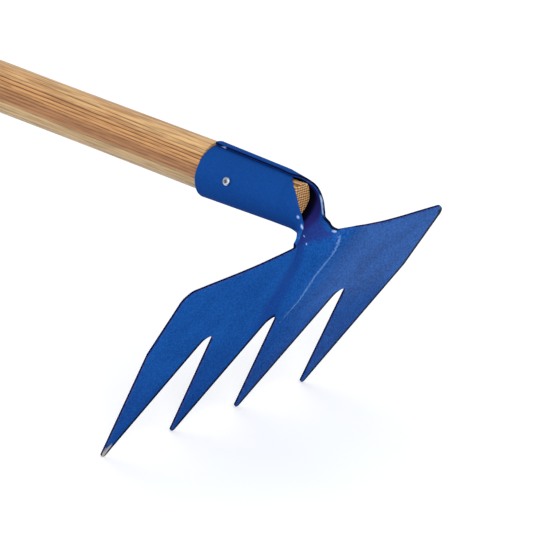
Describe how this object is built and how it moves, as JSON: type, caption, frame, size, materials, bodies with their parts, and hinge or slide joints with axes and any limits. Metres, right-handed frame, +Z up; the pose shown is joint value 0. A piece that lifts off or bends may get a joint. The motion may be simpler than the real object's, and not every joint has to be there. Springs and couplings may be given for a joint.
{
  "type": "claw cultivator",
  "caption": "Garden claw cultivator: a raked blade cut into tapered tines, pressed in one piece with its rolled and lapped socket, riveted to a long round ash handle.",
  "frame": {"origin": "on the ground, below the middle of the tool's bounding box, with the tool resting on its tine tips and its butt", "axes": "+X along the tool on the ground from the butt to the head, +Y across the blade, +Z up"},
  "size_m": [1.2366, 0.25, 0.1668],
  "materials": {
    "head": "gloss blue paint with a slight orange peel",
    "handle": "sanded light ash with brown grain lines",
    "rivet": "bare steel, worn"
  },
  "bodies": {
    "root": {"head": "head", "handle": "handle", "rivet": "rivet"}
  },
  "joints": []
}
